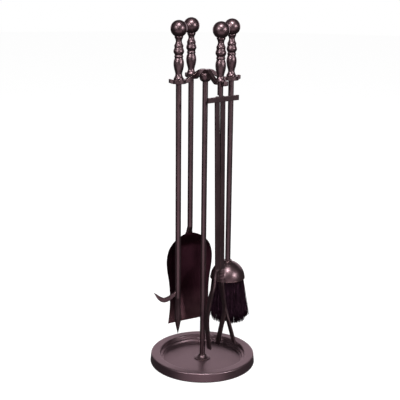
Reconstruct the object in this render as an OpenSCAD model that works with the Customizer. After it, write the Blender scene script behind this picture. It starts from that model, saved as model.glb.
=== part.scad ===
// Fireplace tool set: a round tray stand whose crossed hooks carry a poker, a
// shovel, a pair of tongs and a brush. +Z is up, the origin is under the post.

/* [Stand] */
// Diameter of the tray at its foot
base_d = 235; // [200:1:290]
// Height of the tray rim above the ground
rim_h = 21.5; // [17:0.5:32]
// Width of the flat rim
rim_w = 21; // [14:0.5:26]
// Height of the tray floor above the ground
floor_z = 7; // [6:0.5:9]
// Thickness of the tray floor
floor_t = 3.2; // [2.4:0.1:3.8]
// Thickness of the felt pads under the rim
pad_t = 1.5; // [1:0.1:2]
// Diameter of one felt pad
pad_d = 15; // [9:0.5:17]
// Diameter of the post and of the tool rods
rod_d = 12; // [9:0.5:14.5]
// Diameter of the trumpet collar at the foot of the post
collar_d = 37; // [28:0.5:46]
// Height of the trumpet collar
collar_h = 10; // [7:0.5:16]
// Diameter of the bell cup under the hooks
cup_d = 26; // [22:0.5:28]
// Height of the bell cup
cup_h = 17.5; // [12:0.5:22]

/* [Hooks] */
// Height of the top of the hook arms, where the handles rest
rest_z = 641.5; // [530:0.5:780]
// Distance of each tool from the post
tool_r = 62.8; // [60:0.2:72]
// Side of the square hook bar
bar_s = 8; // [6.5:0.5:9.6]
// Rise of the bars from the pockets to the hub
hub_rise = 18; // [14:0.5:24]
// Level length of the bars between slope and pocket
bar_foot = 1.5; // [0.5:0.1:4]
// Length of the level part of the bars, from the post outwards
hub_r = 11; // [9:0.5:12]
// Gap between a rod and the pocket around it
pocket_gap = 1.8; // [1:0.1:2.2]
// Level length at the end of the hook tips
tip_l = 1.6; // [0.5:0.1:6]
// Turn up of the hook tips before they level off
tip_turn = 40; // [10:1:50]
// Radius of the bends in the bars
bend_r = 8; // [6:0.5:9]
// Turn of the first bar from the X axis
hook_turn = 29; // [0:1:45]

/* [Handles] */
// Height of a turned grip
grip_h = 88; // [73:0.5:106]
// Largest diameter of the grip's swelling
grip_d = 21.8; // [18:0.1:25]
// Diameter of the ball knob
ball_d = 34.6; // [28:0.1:40]
// Diameter of the stud that joins rod, grip and knob
stud_d = 6; // [4:0.5:7]
// Gap around the studs, screws and pins that don't turn
fit_gap = 0.05; // [0.02:0.01:0.1]

/* [Poker] */
// Height of the poker tip above the ground
poker_tip_z = 77.5; // [60:0.5:100]
// Length of the spear blade
blade_l = 85; // [68:1:104]
// Width of the spear blade
blade_w = 15.2; // [12:0.1:19]
// Height where the side hook leaves the rod, above the tip
hook_rise = 97; // [90:1:118]
// Reach of the side hook from the rod
hook_reach = 52; // [42:1:62]
// Thickness of the side hook
hook_t = 7; // [5:0.5:9]

/* [Shovel] */
// Height of the pan lip above the ground
pan_lip_z = 76; // [60:1:90]
// Length of the pan
pan_l = 208; // [172:1:225]
// Largest width of the pan
pan_w = 116; // [96:1:118]
// Depth of the pan
pan_depth = 20; // [14:1:25]
// Thickness of the pan sheet
pan_t = 1.8; // [1.4:0.1:2.4]
// Crown left in the sheet at the ends of the pan
pan_crown = 1.2; // [0.8:0.1:2]

/* [Brush] */
// Height of the dome's rim above the ground
dome_z = 190; // [170:1:220]
// Diameter of the dome
dome_d = 77; // [64:1:80]
// Thickness of the dome's wall
dome_t = 1.6; // [1.2:0.1:2.4]
// Length of the bristles below the dome's rim
bristle_l = 104; // [84:1:124]
// Diameter of the bristles at their flared end
flare_d = 90; // [75:1:91]

/* [Tongs] */
// Length of the crossbar
cross_l = 82; // [68:1:90]
// Height of the crossbar
cross_h = 10.5; // [9:0.5:12]
// Thickness of the crossbar
cross_t = 4.5; // [3.5:0.5:5.5]
// Drop of the crossbar's top below the handle
cross_drop = 30.5; // [24:0.5:38]
// Width of the leg strips
leg_w = 11; // [8:0.1:12.4]
// Thickness of the leg strips
leg_t = 4; // [3:0.1:5]
// Gap between the two leg strips where they close
leg_gap = 1; // [0.3:0.1:2]
// Distance between the two rivets
rivet_pitch = 15; // [13:0.5:18]
// Diameter of the rivets
rivet_d = 4; // [3:0.5:4.5]
// Running gap around the rivets in the legs
pivot_gap = 0.06; // [0.03:0.01:0.1]
// Height of the prong tips above the ground
prong_tip_z = 58; // [48:1:75]

/* [Hidden] */

$fn = 64;
bronze = [0.27, 0.19, 0.18];
dark = [0.16, 0.10, 0.11];
steel = [0.55, 0.55, 0.57];
felt = [0.12, 0.12, 0.12];
wood = [0.45, 0.33, 0.20];

// Where the tools hang
poker_a = hook_turn + 180;
brush_a = hook_turn;
shovel_a = hook_turn + 90;
tongs_a = hook_turn - 90;
bar_z = rest_z - bar_s / 2;
hub_z = bar_z + hub_rise;
post_top = hub_z - bar_s / 2;
pin_gap = 0.3;
// The handles clear the hook arms by a hair, so that the tools lift off freely
rest_gap = 0.02;
handle_z = rest_z + rest_gap;

// Post fixings
screw_d = 6;
washer_d = 16;
washer_t = 1;
screw_head_d = 11;
floor_under = floor_z - floor_t;
screw_head_t = floor_under - washer_t - pad_t / 2;

// Tongs
cross_turn = 39;
cross_shift = 4.7;
cross_top = rest_z - cross_drop;
leg_back = -leg_t / 2 - 0.4;
leg_front = leg_back + leg_t;
cross_back = leg_front + 0.1;
pivot_z = cross_top - 4.5;
leg_end_z = 238;

// Curves and shared shapes

// One step of a path: p is [x, y, heading], turned evenly over the length
function stride(p, l, turn) =
    let (h = p[2] + turn / 2)
    let (c = turn == 0 ? l : l * sin(abs(turn) / 2) / (abs(turn) * PI / 360))
    [p[0] + c * cos(h), p[1] + c * sin(h), p[2] + turn];
function walk(p, steps, i = 0) =
    i == len(steps) ? [p] : concat([p], walk(stride(p, steps[i][0], steps[i][1]), steps, i + 1));
// Splits each arc [radius, turn] and keeps each straight [length, 0]
function steps(moves, fine = 10) = [
    for (m = moves)
        let (n = m[1] == 0 ? 1 : ceil(abs(m[1]) / fine))
        let (l = m[1] == 0 ? m[0] : m[0] * abs(m[1]) * PI / 180)
        for (k = [1:n]) [l / n, m[1] / n]
];
// A strip of width w along a path
module ribbon(path, w) {
    left = [for (p = path) [p[0] - w / 2 * sin(p[2]), p[1] + w / 2 * cos(p[2])]];
    right = [for (p = path) [p[0] + w / 2 * sin(p[2]), p[1] - w / 2 * cos(p[2])]];
    polygon(concat(left, [for (i = [len(right) - 1:-1:0]) right[i]]));
}
// A smooth curve through points of any dimension
function bend(a, b, c, d, t) =
    0.5 * (2 * b + (c - a) * t + (2 * a - 5 * b + 4 * c - d) * t * t + (3 * b - a - 3 * c + d) * t * t * t);
function smooth(pts, n) = [
    for (i = [0:len(pts) - 2])
        for (k = [0:(i == len(pts) - 2 ? n : n - 1)])
            bend(pts[max(i - 1, 0)], pts[i], pts[i + 1], pts[min(i + 2, len(pts) - 1)], k / n)
];
// A closed solid through rings that all have the same number of points
module skin(rings) {
    n = len(rings[0]);
    last = (len(rings) - 1) * n;
    sides = [
        for (r = [0:len(rings) - 2])
            for (k = [0:n - 1])
                let (a = r * n + k, b = r * n + (k + 1) % n)
                each [[a, a + n, b], [b, a + n, b + n]]
    ];
    bottom = [[for (k = [0:n - 1]) k]];
    top = [[for (k = [n - 1:-1:0]) last + k]];
    polyhedron([for (r = rings) each r], concat(sides, bottom, top));
}
module at_tool(a) {
    translate([tool_r * cos(a), tool_r * sin(a), 0]) children();
}

// The stand

module base_tray() {
    r = base_d / 2;
    inner = r - rim_w - 1.5;
    step_z = floor_z + (rim_h - floor_z) * 0.4;
    color(bronze) difference() {
        rotate_extrude($fn = 128) polygon(concat(
            [[0, floor_under], [inner - 8, floor_under], [inner - 5, pad_t], [r - 0.6, pad_t], [r, pad_t + 1.2]],
            [for (a = [0:18:90]) [r - 4.7 + 3 * cos(a), rim_h - 3 + 3 * sin(a)]],
            [for (a = [90:18:162]) [inner + 2.6 + 2.5 * cos(a), rim_h - 2.9 + 2.5 * sin(a)]],
            [[inner - 1.2, step_z + 1], [inner - 2.4, step_z], [inner - 4.6, step_z - 1], [inner - 6, floor_z + 1],
             [inner - 8, floor_z], [0, floor_z]]
        ));
        translate([0, 0, -1]) cylinder(h = rim_h, d = screw_d + 2 * fit_gap);
    }
}

module base_pads() {
    color(felt) for (a = [45:90:315])
        rotate(a) translate([base_d / 2 - rim_w / 2 - 1, 0, 0]) cylinder(h = pad_t, d = pad_d);
}

module base_washer() {
    color(steel) translate([0, 0, floor_under - washer_t]) difference() {
        cylinder(h = washer_t, d = washer_d);
        translate([0, 0, -1]) cylinder(h = washer_t + 2, d = screw_d + 2 * fit_gap);
    }
}

module base_screw() {
    head_z = floor_under - washer_t - screw_head_t;
    color(steel) difference() {
        union() {
            translate([0, 0, head_z]) cylinder(h = screw_head_t, d = screw_head_d);
            translate([0, 0, head_z + screw_head_t - 0.2]) cylinder(h = 22, d = screw_d);
        }
        translate([0, 0, head_z - 1]) cylinder(h = 2, d = 4, $fn = 6);
    }
}

module foot_collar() {
    r = collar_d / 2;
    neck = rod_d / 2 + 1.4;
    color(bronze) difference() {
        translate([0, 0, floor_z]) rotate_extrude() polygon(concat(
            [[0, 0], [r, 0], [r, 1.4]],
            [for (a = [0:10:90]) [neck + (r - neck) * (1 - sin(a)), 1.4 + (collar_h - 1.4) * (1 - cos(a))]],
            [[0, collar_h]]
        ));
        translate([0, 0, floor_z - 1]) cylinder(h = collar_h + 2, d = rod_d + 2 * fit_gap);
    }
}

module post() {
    color(bronze) difference() {
        translate([0, 0, floor_z]) cylinder(h = post_top - floor_z, d = rod_d);
        translate([0, 0, floor_z - 1]) cylinder(h = 23, d = screw_d + 2 * fit_gap);
        translate([0, 0, post_top - 15]) cylinder(h = 16, d = screw_d + 2 * fit_gap);
    }
}

module bell_cup() {
    r = cup_d / 2;
    low = r * 0.63;
    color(bronze) difference() {
        translate([0, 0, post_top - cup_h]) rotate_extrude() polygon(concat(
            [[0, 0], [low - 1, 0], [low, 0.8]],
            [for (a = [0:10:90]) [low + (r - low) * sin(a), 0.8 + (cup_h - 3.8) * (1 - cos(a))]],
            [[r, cup_h - 2.4], [hub_r - 0.4, cup_h], [0, cup_h]]
        ));
        translate([0, 0, post_top - cup_h - 1]) cylinder(h = cup_h + 2, d = rod_d + 2 * fit_gap);
    }
}

// One bar, along X: level over the hub, down each side, round the pockets
module hook_bar() {
    wrap_r = rod_d / 2 + pocket_gap + bar_s / 2;
    corner_r = bar_s / 2;
    corner_x = sqrt(pow(wrap_r + corner_r, 2) - pow(corner_r, 2));
    corner_a = 90 - asin(corner_r / (wrap_r + corner_r));
    // The slope that joins both bends with a straight ramp over this run
    run = tool_r - corner_x - hub_r - bar_foot;
    fall = hub_rise - 2 * bend_r;
    slope = atan2(fall, run) + asin(2 * bend_r / norm([run, fall]));
    ramp = (fall + 2 * bend_r * cos(slope)) / sin(slope);
    side = walk([0, hub_z, 0], steps([[hub_r, 0], [bend_r, -slope], [ramp, 0], [bend_r, slope], [bar_foot, 0]]));
    plan = walk([tool_r - corner_x, 0, 0],
        steps([[corner_r, -corner_a], [wrap_r, 2 * corner_a], [corner_r, -corner_a], [0.4, 0]]));
    tip = walk([tool_r + corner_x - 1, bar_z, 0],
        steps([[corner_r, tip_turn], [corner_r, -tip_turn], [tip_l, 0]]));
    for (m = [0, 1]) mirror([m, 0, 0]) {
        for (path = [side, tip])
            translate([0, bar_s / 2, 0]) rotate([90, 0, 0]) linear_extrude(bar_s) ribbon(path, bar_s);
        translate([0, 0, bar_z - bar_s / 2]) linear_extrude(bar_s) ribbon(plan, bar_s);
    }
}

module hook_bar_front() {
    color(bronze) rotate(hook_turn) difference() {
        hook_bar();
        translate([-bar_s / 2, -bar_s, hub_z - bar_s]) cube([bar_s, 2 * bar_s, bar_s]);
        translate([0, 0, hub_z - 1]) cylinder(h = 3, d = screw_d + 2 * fit_gap);
    }
}

module hook_bar_cross() {
    color(bronze) rotate(hook_turn + 90) difference() {
        hook_bar();
        translate([-bar_s / 2, -bar_s, hub_z]) cube([bar_s, 2 * bar_s, bar_s]);
        translate([0, 0, hub_z - bar_s]) cylinder(h = 2 * bar_s, d = screw_d + 2 * fit_gap);
    }
}

module hub_screw() {
    color(steel) translate([0, 0, post_top - 13]) cylinder(h = 13 + bar_s / 2 + 1.8, d = screw_d);
}

// The handles

// The turned outline: [share of the height, share of the largest radius]
grip_shape = [
    [0, 0.95], [0.03, 0.95], [0.07, 0.77], [0.12, 0.65], [0.17, 0.7], [0.25, 0.88], [0.35, 1],
    [0.43, 0.96], [0.49, 0.81], [0.51, 0.79], [0.535, 0.88], [0.56, 0.8], [0.58, 0.78],
    [0.62, 0.96], [0.66, 1.03], [0.7, 0.94], [0.74, 0.83], [0.785, 0.88], [0.82, 0.75],
    [0.86, 0.63], [0.89, 0.585], [0.93, 0.65], [0.96, 0.77], [0.985, 0.83], [1, 0.82]
];
module grip(a) {
    outline = smooth([for (p = grip_shape) [p[1] * grip_d / 2, p[0] * grip_h]], 3);
    color(bronze) at_tool(a) translate([0, 0, handle_z]) difference() {
        rotate_extrude() polygon(concat([[0, 0]], outline, [[0, grip_h]]));
        translate([0, 0, -1]) cylinder(h = grip_h + 2, d = stud_d + 2 * fit_gap);
    }
}

module knob(a) {
    r = ball_d / 2;
    color(bronze) at_tool(a) translate([0, 0, handle_z + grip_h]) difference() {
        union() {
            translate([0, 0, r * 0.88]) sphere(d = ball_d, $fn = 96);
            cylinder(h = r / 4, r = r * 0.4);
        }
        translate([0, 0, -r]) cylinder(h = r, d = ball_d);
        translate([0, 0, -1]) cylinder(h = r * 0.75 + 1, d = stud_d + 2 * fit_gap);
    }
}

// A straight rod with the stud that runs up through the grip into the knob
module rod(a, low) {
    at_tool(a) {
        translate([0, 0, low]) cylinder(h = handle_z - low, d = rod_d);
        translate([0, 0, handle_z - 1]) cylinder(h = 1 + grip_h + ball_d * 0.35, d = stud_d);
    }
}

// The poker

module poker_rod() {
    top = poker_tip_z + blade_l;
    diamond = function(w, t, z) [
        for (k = [0:7])
            let (r = k % 2 == 0 ? 1 : 0.8)
            [w / 2 * r * cos(45 * k), t / 2 * r * sin(45 * k), z]
    ];
    color(bronze) {
        rod(poker_a, top);
        at_tool(poker_a) skin([
            diamond(0.4, 0.4, poker_tip_z), diamond(blade_w * 0.55, 5, poker_tip_z + blade_l * 0.2),
            diamond(blade_w, 8, poker_tip_z + blade_l * 0.42), diamond(blade_w * 0.86, 9.5, poker_tip_z + blade_l * 0.7),
            diamond(rod_d * 0.99, rod_d * 0.99, top + 2)
        ]);
    }
}

module poker_hook() {
    // [outwards, up] along the middle of the horn, and its height there
    horn = smooth([[0, 0, 8], [10, -6, 9.5], [20, -14, 11], [31, -18, 11.5], [41, -13.5, 9], [52, -2, 0.8]], 5);
    s = hook_reach / 52;
    n = len(horn);
    heading = [for (i = [0:n - 1])
        let (a = horn[max(i - 1, 0)], b = horn[min(i + 1, n - 1)]) atan2(b[1] - a[1], b[0] - a[0])];
    rings = [for (i = [0:n - 1])
        let (p = horn[i], h = p[2] / 2, t = hook_t / 2 * min(1, 0.35 + p[2] / 9), c = heading[i] + 90)
        [for (q = [[1, 0], [0.7, 1], [-0.7, 1], [-1, 0], [-0.7, -1], [0.7, -1]])
            [s * p[0] + q[0] * h * cos(c), q[1] * t, p[1] + q[0] * h * sin(c)]]];
    color(bronze) at_tool(poker_a) difference() {
        translate([0, 0, poker_tip_z + hook_rise]) rotate(180) skin(rings);
        translate([0, 0, poker_tip_z]) cylinder(h = 2 * hook_rise, d = rod_d);
    }
}

// The shovel

// [share of the length from the top, share of the half width]
pan_outline = [
    [0, 0.2], [0.025, 0.42], [0.07, 0.66], [0.14, 0.87], [0.22, 0.97], [0.3, 1], [0.4, 0.97],
    [0.52, 0.9], [0.65, 0.86], [0.8, 0.86], [0.92, 0.9], [1, 0.94]
];
function ease(t) = t <= 0 ? 0 : t >= 1 ? 1 : t * t * (3 - 2 * t);
// Depth of the pan floor behind its edge, at a share v of the length
function pan_floor(v) = pan_crown * (1 + v / 10) + (pan_depth - pan_crown) * ease(v / 0.17) * (1 - ease((v - 0.68) / 0.32));
function pan_back(v, t) = pan_floor(v) * (1 - pow(abs(t), 2.6));

module shovel_pan() {
    rows = smooth(pan_outline, 2);
    across = 10;
    color(dark) at_tool(shovel_a) rotate(hook_turn) skin([
        for (row = rows)
            let (v = row[0], w = pan_w / 2 * row[1], z = pan_lip_z + pan_l * (1 - v))
            concat(
                [for (k = [-across:2:across]) let (t = k / across) [w * t, pan_back(v, t), z]],
                [for (k = [across:-2:-across]) let (t = k / across) [w * t, pan_back(v, t) + pan_t, z]]
            )
    ]);
}

module shovel_rod() {
    top = pan_lip_z + pan_l;
    slab = function(w, t, y, z) [
        for (k = [0:11]) [w / 2 * cos(30 * k), y + t / 2 * sin(30 * k), z]
    ];
    v_end = 0.13;
    color(bronze) {
        rod(shovel_a, top + 16);
        at_tool(shovel_a) rotate(hook_turn) skin([
            for (v = [v_end:-0.026:0]) slab(19, 3.6, pan_floor(v) + pan_t + 1.7, top - v * pan_l),
            slab(16, 6, pan_t + 1.6, top + 5),
            slab(rod_d * 0.99, rod_d * 0.99, 0, top + 18)
        ]);
    }
}

// The brush

module brush_dome() {
    r = dome_d / 2;
    color(bronze) at_tool(brush_a) translate([0, 0, dome_z]) difference() {
        union() {
            sphere(r = r, $fn = 96);
            cylinder(h = 2.4, r = r + 0.6, center = true);
            cylinder(h = r + 2.2, d = rod_d + 6);
        }
        sphere(r = r - dome_t, $fn = 96);
        translate([0, 0, -2 * r]) cylinder(h = 2 * r, r = 2 * r);
        cylinder(h = r * 2, d = rod_d + 2 * fit_gap);
    }
}

module brush_core() {
    r = dome_d / 2 - dome_t - pin_gap;
    color(wood) at_tool(brush_a) translate([0, 0, dome_z]) difference() {
        sphere(r = r);
        translate([0, 0, 4 - 2 * r]) cylinder(h = 2 * r, r = 2 * r);
        translate([0, 0, r * 0.35]) cylinder(h = r, d = rod_d + 2 * fit_gap);
    }
}

module brush_rod() {
    r = dome_d / 2 - dome_t - pin_gap;
    color(bronze) rod(brush_a, dome_z + r * 0.35);
}

module brush_bristles() {
    top = dome_d / 2 - dome_t - 2;
    color(dark) at_tool(brush_a) translate([0, 0, dome_z]) rotate_extrude() polygon(concat(
        [[0, 4], [top, 4]],
        [for (t = [0.1:0.15:0.85]) [top + (flare_d / 2 - top) * pow(t, 1.25), -bristle_l * t]],
        [[flare_d / 2 - 3, -bristle_l * 0.93], [flare_d / 2 - 12, -bristle_l * 0.98], [0, -bristle_l]]
    ));
}

// The tongs

module tongs_frame() {
    at_tool(tongs_a) rotate(cross_turn) children();
}
// Turns a drawing of [along the bar, up] into a plate between two depths
module plate(back, front) {
    translate([0, -back, 0]) rotate([90, 0, 0]) linear_extrude(front - back) children();
}

module tongs_rod() {
    color(bronze) difference() {
        rod(tongs_a, cross_top);
        // The foot is cut back behind the bar, clear of the legs' heads
        tongs_frame() translate([-rod_d, -cross_back, cross_top - 1]) cube([2 * rod_d, 2 * rod_d, 4]);
    }
}

module tongs_crossbar() {
    color(bronze) tongs_frame() difference() {
        plate(cross_back, cross_back + cross_t)
            translate([cross_shift - cross_l / 2, cross_top - cross_h]) square([cross_l, cross_h]);
        for (s = [-1, 1]) translate([s * rivet_pitch / 2, 1, pivot_z]) rotate([90, 0, 0])
            cylinder(h = cross_back + cross_t + 2, d = rivet_d + 2 * fit_gap);
    }
}

module tongs_rivet(s) {
    color(bronze) tongs_frame() translate([s * rivet_pitch / 2, 0, pivot_z]) rotate([90, 0, 0]) {
        translate([0, 0, leg_back - 1]) cylinder(h = cross_back + cross_t - leg_back + 1, d = rivet_d);
        intersection() {
            translate([0, 0, leg_back - 0.1 + 3.2]) sphere(r = 5);
            translate([0, 0, leg_back - 0.1 - 3]) cylinder(h = 3, r = 5);
        }
    }
}

// A leg or prong: points are [along the bar, towards the front, up, twist, share of the width]
module prong(pts) {
    n = len(pts);
    mid = (leg_back + leg_front) / 2;
    skin([for (i = [0:n - 1])
        let (p = pts[i], a = pts[max(i - 1, 0)], b = pts[min(i + 1, n - 1)])
        let (lean = atan2(b[0] - a[0], a[2] - b[2]), w = leg_w / 2 * p[4], h = leg_t / 2 * min(1, 0.4 + p[4]))
        [for (q = [[-w, -h], [w, -h], [w, h], [-w, h]])
            let (x = q[0] * cos(p[3]) - q[1] * sin(p[3]), y = q[0] * sin(p[3]) + q[1] * cos(p[3]))
            [p[0] + x * cos(lean), -mid - p[1] + y, p[2] + x * sin(lean)]]]);
}
// The round head of a leg and its straight strip down to end_u
function strip(s, end_u) = let (u = s * rivet_pitch / 2) concat(
    [for (a = [80:-16:0]) [u, 0, pivot_z + leg_w / 2 * sin(a), 0, cos(a)]],
    [[u + (end_u - u) * 0.02, 0, pivot_z - 9, 0, 1], [end_u, 0, leg_end_z, 0, 1]]
);
// The running hole for a leg's rivet
module rivet_hole(s) {
    translate([s * rivet_pitch / 2, 10, pivot_z]) rotate([90, 0, 0]) cylinder(h = 20, d = rivet_d + 2 * pivot_gap);
}

bow_z = leg_end_z - prong_tip_z;
function down(share) = leg_end_z - share * bow_z;
single_u = 0.1;
fork_u = single_u + leg_w + leg_gap;

module tongs_leg_single() {
    color(bronze) tongs_frame() difference() {
        prong(concat(strip(-1, single_u), smooth([
            [single_u - 0.5, 0, down(0.03), 12, 1], [-8, 0, down(0.18), 60, 1], [-17, 0, down(0.32), 90, 1],
            [-25.5, 0, down(0.53), 90, 1], [-26.5, 0, down(0.7), 90, 1], [-19.5, 0, down(1), 90, 1]
        ], 4)));
        rivet_hole(-1);
    }
}

module tongs_leg_fork() {
    color(bronze) tongs_frame() difference() {
        prong(concat(strip(1, fork_u), smooth([
            [fork_u + 0.3, 0, down(0.03), -12, 1], [12.5, 0, down(0.18), -60, 1], [17, 0, down(0.36), -90, 1],
            [22.5, 0, down(0.56), -90, 1], [14, 0, down(0.74), -90, 1], [10.5, -1, down(0.84), -90, 1],
            [11.5, -9, down(1), -90, 1]
        ], 4)));
        rivet_hole(1);
    }
}

// The fork's second prong, welded to the side of the first
module tongs_fork_prong() {
    color(bronze) tongs_frame() prong(smooth([
        [21.2, 1.5, down(0.5), -90, 0.6], [24, 4, down(0.6), -90, 0.9],
        [27.5, 10, down(0.72), -90, 0.95], [35, 20, down(0.97), -90, 0.95]
    ], 4));
}

base_tray();
base_pads();
base_washer();
base_screw();
foot_collar();
post();
bell_cup();
hook_bar_front();
hook_bar_cross();
hub_screw();
poker_rod();
poker_hook();
grip(poker_a);  // poker_grip
knob(poker_a);  // poker_knob
shovel_rod();
shovel_pan();
grip(shovel_a);  // shovel_grip
knob(shovel_a);  // shovel_knob
brush_rod();
brush_dome();
brush_core();
brush_bristles();
grip(brush_a);  // brush_grip
knob(brush_a);  // brush_knob
tongs_rod();
tongs_crossbar();
tongs_leg_single();
tongs_leg_fork();
tongs_fork_prong();
tongs_rivet(-1);  // tongs_rivet_left
tongs_rivet(1);  // tongs_rivet_right
grip(tongs_a);  // tongs_grip
knob(tongs_a);  // tongs_knob
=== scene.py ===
# Fireplace tool set: finishes, bristles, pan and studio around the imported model
import math
import random

import bpy
from mathutils import Matrix, Vector


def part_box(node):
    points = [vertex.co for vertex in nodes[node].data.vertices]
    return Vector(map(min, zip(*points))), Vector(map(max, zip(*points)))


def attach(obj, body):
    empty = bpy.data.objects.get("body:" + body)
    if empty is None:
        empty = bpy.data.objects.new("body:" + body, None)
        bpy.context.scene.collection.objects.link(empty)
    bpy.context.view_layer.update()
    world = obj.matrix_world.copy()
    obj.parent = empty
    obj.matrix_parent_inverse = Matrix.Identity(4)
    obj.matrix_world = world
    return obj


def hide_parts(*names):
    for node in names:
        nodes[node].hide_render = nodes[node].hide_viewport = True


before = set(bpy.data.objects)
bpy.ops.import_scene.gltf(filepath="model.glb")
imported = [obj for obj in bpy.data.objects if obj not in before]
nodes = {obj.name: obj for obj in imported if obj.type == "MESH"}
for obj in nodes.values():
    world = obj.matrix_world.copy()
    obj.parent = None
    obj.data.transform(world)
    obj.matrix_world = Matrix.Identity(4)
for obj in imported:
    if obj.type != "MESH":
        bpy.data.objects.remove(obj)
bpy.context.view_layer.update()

scene = bpy.context.scene
print("frame loaded,", len(nodes), "nodes")


# camera, as the set is seen from in front
shot = {
    "place": (-0.00865, -1.88895, 0.89082),
    "lookDown": 15.22,   # degrees below level
    "roll": 0.58,
    "lens": 81.36,
}
cameraData = bpy.data.cameras.new("camera")
cameraData.lens = shot["lens"]
cameraData.sensor_width = 36
cameraData.dof.use_dof = False
camera = bpy.data.objects.new("camera", cameraData)
scene.collection.objects.link(camera)
camera.matrix_world = (
    Matrix.Translation(shot["place"])
    @ Matrix.Rotation(math.radians(90 - shot["lookDown"]), 4, "X")
    @ Matrix.Rotation(math.radians(shot["roll"]), 4, "Z")
)
scene.camera = camera
scene.view_settings.view_transform = "Standard"


# wraps a socket, so that sums and products on it add Math nodes
class Wire:
    def __init__(self, paint, socket):
        self.paint = paint
        self.socket = socket

    def sum(self, operation, *values):
        return self.paint.add("ShaderNodeMath", {"operation": operation}, dict(enumerate(values)))

    def __add__(self, other):
        return self.sum("ADD", self, other)

    __radd__ = __add__

    def __mul__(self, other):
        return self.sum("MULTIPLY", self, other)

    __rmul__ = __mul__

    def __sub__(self, other):
        return self.sum("SUBTRACT", self, other)

    def __rsub__(self, other):
        return self.sum("SUBTRACT", other, self)

    def between(self, low, high):
        # 0 at low, 1 at high
        return self.paint.add("ShaderNodeMapRange", {"clamp": True},
                              {0: self, 1: low, 2: high, 3: 0.0, 4: 1.0})


# one material with its node tree
class Paint:
    def __init__(self, name):
        self.material = bpy.data.materials.new(name)
        self.material.use_nodes = True
        self.tree = self.material.node_tree
        self.tree.nodes.clear()
        self.place = self.add("ShaderNodeTexCoord", out="Object")

    def add(self, kind, settings=None, sockets=None, out=0):
        node = self.tree.nodes.new(kind)
        for key, value in (settings or {}).items():
            setattr(node, key, value)
        for key, value in (sockets or {}).items():
            if isinstance(value, Wire):
                self.tree.links.new(value.socket, node.inputs[key])
            else:
                node.inputs[key].default_value = value
        return Wire(self, node.outputs[out])

    def noise(self, scale, detail=3.0, rough=0.5, place=None):
        return self.add("ShaderNodeTexNoise", None,
                        {"Vector": place or self.place, "Scale": scale, "Detail": detail, "Roughness": rough})

    def stretched(self, scales):
        return self.add("ShaderNodeMapping", None, {"Vector": self.place, "Scale": scales})

    def blend(self, first, second, share):
        # one colour over another
        sides = {6: first, 7: second}
        sides = {key: value if isinstance(value, Wire) else (*value, 1) for key, value in sides.items()}
        return self.add("ShaderNodeMix", {"data_type": "RGBA"}, {0: share, **sides}, out=2)

    def edges(self, radius):
        # the rounded normal, and how far it leans from the face: high along edges
        soft = self.add("ShaderNodeBevel", {"samples": 4}, {"Radius": radius})
        flat = self.add("ShaderNodeNewGeometry", out="Normal")
        lean = self.add("ShaderNodeVectorMath", {"operation": "DOT_PRODUCT"}, {0: soft, 1: flat}, out="Value")
        return soft, 1 - lean

    def close(self, sockets):
        shader = self.add("ShaderNodeBsdfPrincipled", None, sockets)
        self.addOutput(shader)
        return self.material

    def addOutput(self, shader):
        end = self.tree.nodes.new("ShaderNodeOutputMaterial")
        self.tree.links.new(shader.socket, end.inputs["Surface"])


# the finishes
bronzeFinish = {
    "dark": (0.046, 0.023, 0.028),
    "mid": (0.074, 0.041, 0.047),
    # lighter tone for specks and edge wear, also used for painted edge highlights and the pan's painted lip
    # reflection
    "wornAndSheen": (0.24, 0.15, 0.13),
    "metal": 0.94,
    "gloss": 0.31,
    "coat": 0.5,
    "grain": 1500,       # powder grain, per metre
    "bump": 0.012,
}


# satin bronze powder coat over steel
def bronzeCoat(name, look, edge=0.0011, edgeRubAndGlintShare=0.5, paintedLipReflection=None):
    paint = Paint(name)
    cloud = paint.noise(14, 4, 0.55)
    speck = paint.noise(420, 2, 0.6)
    grain = paint.noise(look["grain"], 1, 0.4)
    soft, lean = paint.edges(edge)
    # lighter edges: partly wear on the coat, partly a painted highlight where light catches the rounded edges
    edgeRubAndGlint = lean.between(0.03, 0.22) * paint.noise(120, 3, 0.7).between(0.38, 0.62) * edgeRubAndGlintShare
    colour = paint.blend(look["dark"], look["mid"], cloud.between(0.3, 0.62))
    colour = paint.blend(colour, look["wornAndSheen"], speck.between(0.62, 0.8) * 0.16)
    colour = paint.blend(colour, look["wornAndSheen"], edgeRubAndGlint)
    if paintedLipReflection:
        # painted reflection: lighter from the first height down to the second, where the pan's lip turns
        # forward and catches light
        height = paint.add("ShaderNodeSeparateXYZ", None, {"Vector": paint.place}, out="Z")
        colour = paint.blend(colour, look["wornAndSheen"], height.between(*paintedLipReflection) * cloud.between(0.2, 0.6) * 0.8)
    bump = paint.add("ShaderNodeBump", None, {
        "Strength": look["bump"], "Distance": 0.0004, "Height": grain + speck * 0.6, "Normal": soft})
    return paint.close({
        "Base Color": colour,
        "Metallic": look["metal"],
        "Roughness": look["gloss"] + cloud * 0.1 + grain * 0.05 - edgeRubAndGlint * 0.08,
        "Specular IOR Level": 0.5,
        "Coat Weight": look["coat"],
        "Coat Roughness": 0.36,
        "Normal": bump,
    })


# the tray's bronze, set lighter than the rods': partly its own tone, partly painted light for what its upward
# faces catch
castFinish = {
    **bronzeFinish,
    "dark": (0.080, 0.046, 0.056),
    "mid": (0.094, 0.056, 0.066),
    "metal": 0.86,
    "gloss": 0.29,
    "coat": 0.45,
    "grain": 900,
    "bump": 0.06,
}
# the pan's colours set near black: painted shade for the dark inside of the dish
shadedSheetFinish = {
    **bronzeFinish,
    "dark": (0.020, 0.0045, 0.009),
    "mid": (0.032, 0.0085, 0.015),
    "wornAndSheen": (0.10, 0.05, 0.055),
    "metal": 0.96,
    "gloss": 0.46,
    "coat": 0.04,
    "bump": 0.04,
}


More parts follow.
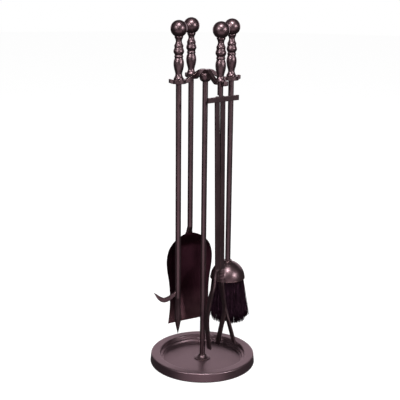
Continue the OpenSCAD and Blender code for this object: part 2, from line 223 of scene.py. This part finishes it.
# zinc plate with faint turning marks
def zincPlate():
    paint = Paint("zincPlate")
    brushed = paint.noise(90, 3, 0.6, paint.stretched((1, 1, 22)))
    stain = paint.noise(160, 4, 0.6)
    colour = paint.blend((0.36, 0.36, 0.38), (0.58, 0.58, 0.60), stain.between(0.35, 0.65))
    bump = paint.add("ShaderNodeBump", None, {"Strength": 0.08, "Distance": 0.0003, "Height": brushed})
    return paint.close({"Base Color": colour, "Metallic": 1.0,
                        "Roughness": 0.28 + brushed * 0.2, "Normal": bump})


# pressed wool felt
def woolFelt():
    paint = Paint("woolFelt")
    fibre = paint.noise(1600, 5, 0.8)
    tuft = paint.noise(260, 3, 0.6)
    colour = paint.blend((0.010, 0.009, 0.010), (0.040, 0.037, 0.040), fibre.between(0.35, 0.7))
    bump = paint.add("ShaderNodeBump", None, {"Strength": 0.5, "Distance": 0.0006, "Height": fibre + tuft})
    return paint.close({"Base Color": colour, "Roughness": 0.95, "Sheen Weight": 0.35, "Normal": bump})


# the turned block that holds the bristles
def blockWood():
    paint = Paint("blockWood")
    growth = paint.noise(60, 4, 0.55, paint.stretched((1, 1, 0.12)))
    pore = paint.noise(900, 2, 0.6, paint.stretched((1, 1, 0.08)))
    colour = paint.blend((0.20, 0.11, 0.05), (0.42, 0.26, 0.13), growth.between(0.35, 0.65))
    colour = paint.blend(colour, (0.09, 0.05, 0.025), pore.between(0.6, 0.75) * 0.6)
    bump = paint.add("ShaderNodeBump", None, {"Strength": 0.25, "Distance": 0.0004, "Height": pore})
    return paint.close({"Base Color": colour, "Roughness": 0.55 + growth * 0.15, "Normal": bump})


bronze = bronzeCoat("satinBronze", bronzeFinish)
castBronze = bronzeCoat("castBronze", castFinish, 0.0016, 0.35)
shadedSheetBronze = bronzeCoat("shadedSheetBronze", shadedSheetFinish, 0.0008, 0.6, (0.150, 0.092))
zinc = zincPlate()
felt = woolFelt()
wood = blockWood()

finishOf = {"base_tray": castBronze, "base_pads": felt, "base_washer": zinc, "base_screw": zinc,
            "hub_screw": zinc, "brush_core": wood, "shovel_pan": shadedSheetBronze}
for name, node in nodes.items():
    node.data.materials.clear()
    node.data.materials.append(finishOf.get(name, bronze))
print("finishes set")


def meshPiece(name, points, faces, material):
    mesh = bpy.data.meshes.new(name)
    mesh.from_pydata(points, [], faces)
    mesh.materials.append(material)
    mesh.polygons.foreach_set("use_smooth", [True] * len(mesh.polygons))
    mesh.update()
    piece = bpy.data.objects.new(name, mesh)
    scene.collection.objects.link(piece)
    return piece


# faces between rings that all have the same number of points
def ringFaces(rings, count, start=0):
    return [(start + r * count + k, start + r * count + (k + 1) % count,
             start + (r + 1) * count + (k + 1) % count, start + (r + 1) * count + k)
            for r in range(rings - 1) for k in range(count)]


def curveThrough(points, fine):
    # Catmull-Rom through points of any dimension
    out = []
    for i in range(len(points) - 1):
        a, b = points[max(i - 1, 0)], points[i]
        c, d = points[i + 1], points[min(i + 2, len(points) - 1)]
        for k in range(fine + (i == len(points) - 2)):
            t = k / fine
            out.append([0.5 * (2 * q + (r - p) * t + (2 * p - 5 * q + 4 * r - s) * t * t
                               + (3 * q - p - 3 * r + s) * t ** 3) for p, q, r, s in zip(a, b, c, d)])
    return out


def ease(t):
    t = min(max(t, 0), 1)
    return t * t * (3 - 2 * t)


def middle(node):
    low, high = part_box(node)
    return (low + high) / 2


# the shovel's pan, with a finer dish than the plain sheet
pan = {
    "depth": 0.020,
    "sheet": 0.0018,
    "crown": 0.0012,
    "turn": 29,
    # share of the length from the top, share of the half width
    "outline": [(0, 0.2), (0.025, 0.42), (0.07, 0.66), (0.14, 0.87), (0.22, 0.97), (0.3, 1), (0.4, 0.97),
                (0.52, 0.9), (0.65, 0.86), (0.8, 0.86), (0.92, 0.9), (1, 0.94)],
    "across": 28,
    "width": 0.116,
    "length": 0.208,
    "lip": 0.076,
}


def panFloor(v):
    fall = ease(v / 0.17) * (1 - ease((v - 0.68) / 0.32))
    return pan["crown"] * (1 + v / 10) + (pan["depth"] - pan["crown"]) * fall


def makePan():
    rows = curveThrough(pan["outline"], 5)
    n = pan["across"]
    points = []
    for v, width in rows:
        half = pan["width"] / 2 * width
        z = pan["lip"] + pan["length"] * (1 - v)
        sweep = [k / n * 2 - 1 for k in range(n + 1)]
        back = [panFloor(v) * (1 - abs(t) ** 2.6) for t in sweep]
        points += [(half * t, y, z) for t, y in zip(sweep, back)]
        points += [(half * t, y + pan["sheet"], z) for t, y in reversed(list(zip(sweep, back)))]
    count = 2 * (n + 1)
    faces = ringFaces(len(rows), count)
    # the sheet's edge at the top and at the lip
    for first, order in ((0, 1), ((len(rows) - 1) * count, -1)):
        for k in range(n):
            faces.append(tuple(first + i for i in (k, k + 1, count - 2 - k, count - 1 - k)[::order]))
    piece = meshPiece("panSheet", points, faces, shadedSheetBronze)
    top = middle("shovel_knob")
    turned = Matrix.Rotation(math.radians(pan["turn"]), 4, "Z")
    piece.matrix_world = Matrix.Translation((top.x, top.y, 0)) @ turned
    rounding = piece.modifiers.new("edge", "BEVEL")
    rounding.width = 0.0006
    rounding.segments = 2
    rounding.limit_method = "ANGLE"
    rounding.angle_limit = math.radians(50)
    piece.modifiers.new("shade", "WEIGHTED_NORMAL").keep_sharp = True
    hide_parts("shovel_pan")
    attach(piece, "shovel")


makePan()
print("pan made")


# the bristles, one by one, with a close mass inside
bristles = {
    "count": 2600,
    "tufts": 34,
    "thick": 0.00045,    # radius at the root
    "segments": 6,
    "rootDrop": 0.003,   # above the dome's rim
    "flare": 0.0462,
    "lean": 0.0045,      # towards +X at the tips
    "length": 0.101,
    "fan": 0.015,        # how much shorter the outer ones hang
    "ragged": 0.004,
    "inset": 0.0045,     # in from the dome's outside to the outermost root
    "massShare": 0.93,   # of the bundle's radius
    "massDrop": 0.8,     # of the bundle's length
    "groove": 0.035,
}


def bristlePaint():
    paint = Paint("bristleBlack")
    strand = paint.noise(700, 2, 0.5, paint.stretched((1, 1, 0.02)))
    along = paint.noise(40, 2, 0.5)
    colour = paint.blend((0.004, 0.0008, 0.0028), (0.019, 0.0065, 0.0135), strand.between(0.35, 0.7))
    pale = strand.between(0.58, 0.72) * along.between(0.35, 0.6) * 0.8
    colour = paint.blend(colour, (0.085, 0.036, 0.062), pale)
    return paint.close({"Base Color": colour, "Roughness": 0.5 + strand * 0.2, "Specular IOR Level": 0.12,
                        "Specular Tint": (1.0, 0.72, 0.9, 1)})


def makeBristles():
    rng = random.Random(11)
    hair = bristlePaint()
    top = middle("brush_knob")
    low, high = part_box("brush_dome")
    rootZ = low.z + bristles["rootDrop"]
    rootR = (high.x - low.x) / 2 - bristles["inset"]
    tufts = [(rng.uniform(-0.0022, 0.0022), rng.uniform(-0.0022, 0.0022), rng.uniform(-0.003, 0.003))
             for _ in range(bristles["tufts"])]
    points, faces = [], []
    seg = bristles["segments"]
    for i in range(bristles["count"]):
        angle = i * 2.399963
        # more of them towards the outside, where they show
        share = rng.uniform(0.15, 1) ** 0.42
        tuft = tufts[int((angle % (2 * math.pi)) / (2 * math.pi) * len(tufts)) % len(tufts)]
        splay = bristles["flare"] / rootR * rng.uniform(0.95, 1.012)
        bow = rng.uniform(0.85, 1.1)
        twist = rng.gauss(0, 0.035)
        length = bristles["length"] + tuft[2] - abs(rng.gauss(0, bristles["ragged"] * 0.5)) + 0.001
        length -= bristles["fan"] * share ** 3 * rng.uniform(0.75, 1.1)
        for k in range(seg + 1):
            t = k / seg
            r = rootR * share * (1 + (splay - 1) * t ** bow)
            a = angle + twist * t * t
            x = top.x + r * math.cos(a) + tuft[0] * t * t + bristles["lean"] * t
            y = top.y + r * math.sin(a) + tuft[1] * t * t
            z = rootZ - (length + bristles["rootDrop"]) * t
            thick = bristles["thick"] * (1 - 0.45 * t)
            for side in range(3):
                b = a + side * 2 * math.pi / 3
                points.append((x + thick * math.cos(b), y + thick * math.sin(b), z))
        start = i * (seg + 1) * 3
        faces += ringFaces(seg + 1, 3, start)
        faces.append((start + seg * 3, start + seg * 3 + 1, start + seg * 3 + 2))
    hairs = meshPiece("bristleTufts", points, faces, hair)
    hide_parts("brush_bristles")
    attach(hairs, "brush")

    # the close mass inside, grooved along its length
    around, rings = 90, 12
    points = []
    for r in range(rings):
        t = r / (rings - 1) * bristles["massDrop"]
        radius = rootR * bristles["massShare"] * (1 + (bristles["flare"] / rootR - 1) * t)
        for k in range(around):
            a = k / around * 2 * math.pi
            groove = 1 - bristles["groove"] * ((k * 7) % 5) / 4
            points.append((top.x + radius * groove * math.cos(a) + bristles["lean"] * t,
                           top.y + radius * groove * math.sin(a), rootZ - bristles["length"] * t))
    faces = ringFaces(rings, around)
    faces.append(tuple(range(around))[::-1])
    faces.append(tuple((rings - 1) * around + k for k in range(around)))
    mass = meshPiece("bristleMass", points, faces, hair)
    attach(mass, "brush")


makeBristles()
print("bristles made")


# the weld at the poker's side hook
weld = {
    "drop": 0.004,       # below the top of the hook's root
    "proud": 0.0001,
    "deep": 0.0036,
    "tall": 0.0050,
    "bead": 0.0013,
    "ripples": 15,
}


def makeWeld():
    top = middle("poker_knob")
    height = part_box("poker_hook")[1].z - weld["drop"]
    low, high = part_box("brush_rod")
    ring = (high.x - low.x) / 2 + weld["proud"]
    around, sides = 60, 8
    points = []
    for k in range(around):
        a = k / around * 2 * math.pi
        # an oval seam on the rod's left side, where the hook leaves it
        ripple = 0.78 + 0.3 * abs(math.sin(a * weld["ripples"] / 2))
        y, z = weld["deep"] * math.cos(a), weld["tall"] * math.sin(a)
        x = -math.sqrt(ring ** 2 - y * y)
        out = Vector((-0.35, math.cos(a), math.sin(a))).normalized()
        over = Vector((-1, 0, 0))
        for s in range(sides):
            b = s / sides * 2 * math.pi
            shift = (out * math.cos(b) + over * math.sin(b)) * weld["bead"] * ripple
            points.append((top.x + x + shift.x, top.y + y + shift.y, height + z + shift.z))
    faces = ringFaces(around, sides)
    last = (around - 1) * sides
    faces += [(last + s, last + (s + 1) % sides, (s + 1) % sides, s) for s in range(sides)]
    bead = meshPiece("hookWeld", points, faces, bronze)
    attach(bead, "poker")


makeWeld()
print("weld made")


# the studio
studio = {
    "world": (0.060, 0.055, 0.058),
    "floor": (0.13, 0.13, 0.13),
    "floorGlow": 0.97,
    "floorReach": 12,    # from the middle to an edge
    "surround": 9,       # its radius and height
    # name: place, width, height, power, aimed at, share of green left in its light
    "lights": {
        "topLight": ((0.0, -1.15, 2.75), 0.46, 0.46, 106, (0, 0, 0.5), 1),
        "leftLight": ((-1.3, -1.8, 1.65), 0.32, 0.32, 50, (0, 0, 0.55), 1),
        "rightLight": ((1.95, -1.45, 1.25), 0.34, 0.34, 56, (0, 0, 0.55), 1),
        "lowGlow": ((0.0, -1.25, 0.03), 2.2, 0.9, 9.5, (0, -0.2, 1.4), 0.84),
        "backCard": ((0.0, 2.6, 0.78), 4.6, 1.0, 24, (0, 0, 0.1), 0.76),
    },
}


def makeStudio():
    world = bpy.data.worlds.new("studio")
    scene.world = world
    world.use_nodes = True
    sky = world.node_tree.nodes["Background"]
    sky.inputs["Color"].default_value = (*studio["world"], 1)
    for name, (place, width, height, power, aim, green) in studio["lights"].items():
        data = bpy.data.lights.new(name, "AREA")
        data.shape = "ELLIPSE" if width == height else "RECTANGLE"
        data.size = width
        data.size_y = height
        data.energy = power
        data.color = (1, green, (1 + 2 * green) / 3)
        lamp = bpy.data.objects.new(name, data)
        scene.collection.objects.link(lamp)
        lamp.location = place
        lamp.rotation_euler = (Vector(aim) - Vector(place)).to_track_quat("-Z", "Y").to_euler()
        lamp.visible_camera = False

    # the floor and the white surround behind it don't show in the metal, which stays dark and crisp
    paint = Paint("paleFloor")
    mottle = paint.noise(6, 2, 0.5)
    colour = paint.blend(studio["floor"], (0.15, 0.15, 0.15), mottle.between(0.3, 0.7))
    floorLook = paint.close({"Base Color": colour, "Roughness": 0.8, "Specular IOR Level": 0.0,
                             "Emission Color": (1, 1, 1, 1), "Emission Strength": studio["floorGlow"]})
    size = studio["floorReach"]
    floor = meshPiece("floor", [(-size, -size, 0), (size, -size, 0), (size, size, 0), (-size, size, 0)],
                      [(0, 1, 2, 3)], floorLook)
    floor.location.z = -0.0002

    paint = Paint("whiteSurround")
    glow = paint.add("ShaderNodeEmission", None, {"Color": (1, 1, 1, 1), "Strength": 1.0})
    paint.addOutput(glow)
    around = 48
    far = studio["surround"]
    points = [(far * math.cos(k / around * 2 * math.pi), far * math.sin(k / around * 2 * math.pi), z)
              for z in (-0.3, far) for k in range(around)]
    faces = ringFaces(2, around)
    faces.append(tuple(around + k for k in range(around)))
    surround = meshPiece("surround", points, faces, paint.material)
    surround.visible_shadow = False
    for piece in (floor, surround):
        piece.visible_glossy = False
        piece.visible_diffuse = False


makeStudio()
print("studio made")
